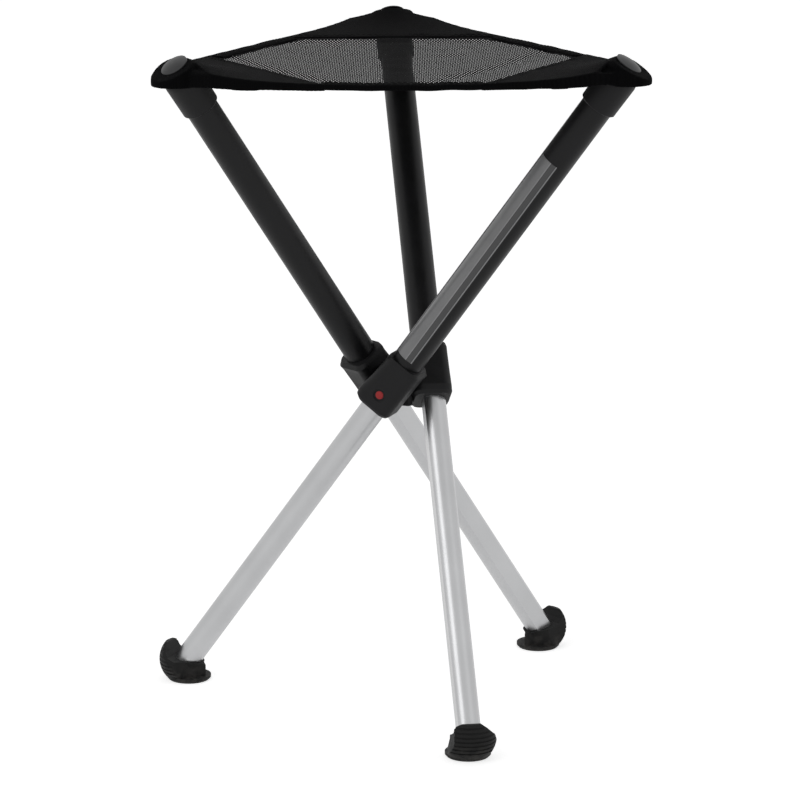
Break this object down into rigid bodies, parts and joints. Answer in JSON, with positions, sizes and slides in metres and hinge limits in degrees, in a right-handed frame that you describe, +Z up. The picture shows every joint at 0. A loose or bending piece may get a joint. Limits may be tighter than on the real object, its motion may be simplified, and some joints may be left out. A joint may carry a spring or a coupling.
{
  "type": "folding stool",
  "caption": "Folding stool with telescopic legs that cross at a central hub and carry a stretched mesh seat.",
  "frame": {"origin": "on the floor under the middle of the open stool's bounding box", "axes": "+Z up; leg a leans towards +X at its top"},
  "size_m": [0.3514, 0.3214, 0.4538],
  "materials": {
    "black_paint": "semi-gloss",
    "silver_tube": "satin",
    "black_plastic": "fine matte",
    "red_plastic": "glossy",
    "foot_rubber": "matte",
    "spring_steel": "satin",
    "screw_steel": "satin",
    "rivet_metal": "satin",
    "seat_mesh": "open warp-knit mesh",
    "seat_webbing": "woven tape",
    "seat_canvas": "plain weave",
    "label_film": "smooth film"
  },
  "bodies": {
    "hub": {"hub_core": "black_plastic", "seat_panel": "seat_mesh", "pivot_screw_a": "screw_steel", "pivot_screw_b": "screw_steel", "pivot_screw_c": "screw_steel", "seat_hem_a": "seat_webbing", "seat_hem_b": "seat_webbing", "seat_hem_c": "seat_webbing", "seat_corner_a": "seat_canvas", "seat_corner_b": "seat_canvas", "seat_corner_c": "seat_canvas"},
    "leg_a_upper": {"upper_tube_a": "black_paint", "collar_a": "black_plastic", "top_cap_a": "black_plastic", "seat_rivet_a": "rivet_metal", "label": "label_film"},
    "leg_a_lower": {"lower_tube_a": "silver_tube", "slide_bush_a": "black_plastic", "foot_a": "foot_rubber", "catch_spring_a": "spring_steel"},
    "leg_a_button": {"lock_button_a": "red_plastic"},
    "leg_b_upper": {"upper_tube_b": "black_paint", "collar_b": "black_plastic", "top_cap_b": "black_plastic", "seat_rivet_b": "rivet_metal"},
    "leg_b_lower": {"lower_tube_b": "silver_tube", "slide_bush_b": "black_plastic", "foot_b": "foot_rubber", "catch_spring_b": "spring_steel"},
    "leg_b_button": {"lock_button_b": "red_plastic"},
    "leg_c_upper": {"upper_tube_c": "black_paint", "collar_c": "black_plastic", "top_cap_c": "black_plastic", "seat_rivet_c": "rivet_metal"},
    "leg_c_lower": {"lower_tube_c": "silver_tube", "slide_bush_c": "black_plastic", "foot_c": "foot_rubber", "catch_spring_c": "spring_steel"},
    "leg_c_button": {"lock_button_c": "red_plastic"}
  },
  "joints": [
    {"name": "leg_a_fold", "type": "hinge", "parent": "hub", "child": "leg_a_upper", "pos_m": [-0.00754, -0.0336, 0.2175], "axis": [0, -1, 0], "range_deg": [0, 36.1], "deforming": ["seat_panel", "seat_hem_a", "seat_hem_b", "seat_hem_c", "seat_corner_a", "seat_corner_b", "seat_corner_c"]},
    {"name": "leg_a_slide", "type": "slide", "parent": "leg_a_upper", "child": "leg_a_lower", "axis": [0.5892, 0, 0.808], "range_m": [0, 0.19], "deforming": ["catch_spring_a"]},
    {"name": "leg_a_press", "type": "slide", "parent": "leg_a_upper", "child": "leg_a_button", "axis": [0, 1, 0], "range_m": [0, 0.0011], "stiffness_N_per_m": 1500, "deforming": ["catch_spring_a"]},
    {"name": "leg_b_fold", "type": "hinge", "parent": "hub", "child": "leg_b_upper", "pos_m": [0.01186, 0, 0.2175], "axis": [0.866, 0.5, 0], "range_deg": [0, 36.1], "deforming": ["seat_panel", "seat_hem_a", "seat_hem_b", "seat_hem_c", "seat_corner_a", "seat_corner_b", "seat_corner_c"]},
    {"name": "leg_b_slide", "type": "slide", "parent": "leg_b_upper", "child": "leg_b_lower", "axis": [-0.2946, 0.5103, 0.808], "range_m": [0, 0.19], "deforming": ["catch_spring_b"]},
    {"name": "leg_b_press", "type": "slide", "parent": "leg_b_upper", "child": "leg_b_button", "axis": [-0.866, -0.5, 0], "range_m": [0, 0.0011], "stiffness_N_per_m": 1500, "deforming": ["catch_spring_b"]},
    {"name": "leg_c_fold", "type": "hinge", "parent": "hub", "child": "leg_c_upper", "pos_m": [-0.02694, 0, 0.2175], "axis": [-0.866, 0.5, 0], "range_deg": [0, 36.1], "deforming": ["seat_panel", "seat_hem_a", "seat_hem_b", "seat_hem_c", "seat_corner_a", "seat_corner_b", "seat_corner_c"]},
    {"name": "leg_c_slide", "type": "slide", "parent": "leg_c_upper", "child": "leg_c_lower", "axis": [-0.2946, -0.5103, 0.808], "range_m": [0, 0.19], "deforming": ["catch_spring_c"]},
    {"name": "leg_c_press", "type": "slide", "parent": "leg_c_upper", "child": "leg_c_button", "axis": [0.866, -0.5, 0], "range_m": [0, 0.0011], "stiffness_N_per_m": 1500, "deforming": ["catch_spring_c"]}
  ],
  "couplings": [
    {"joint": "leg_b_fold", "follows": "leg_a_fold", "ratio": 1},
    {"joint": "leg_c_fold", "follows": "leg_a_fold", "ratio": 1}
  ]
}
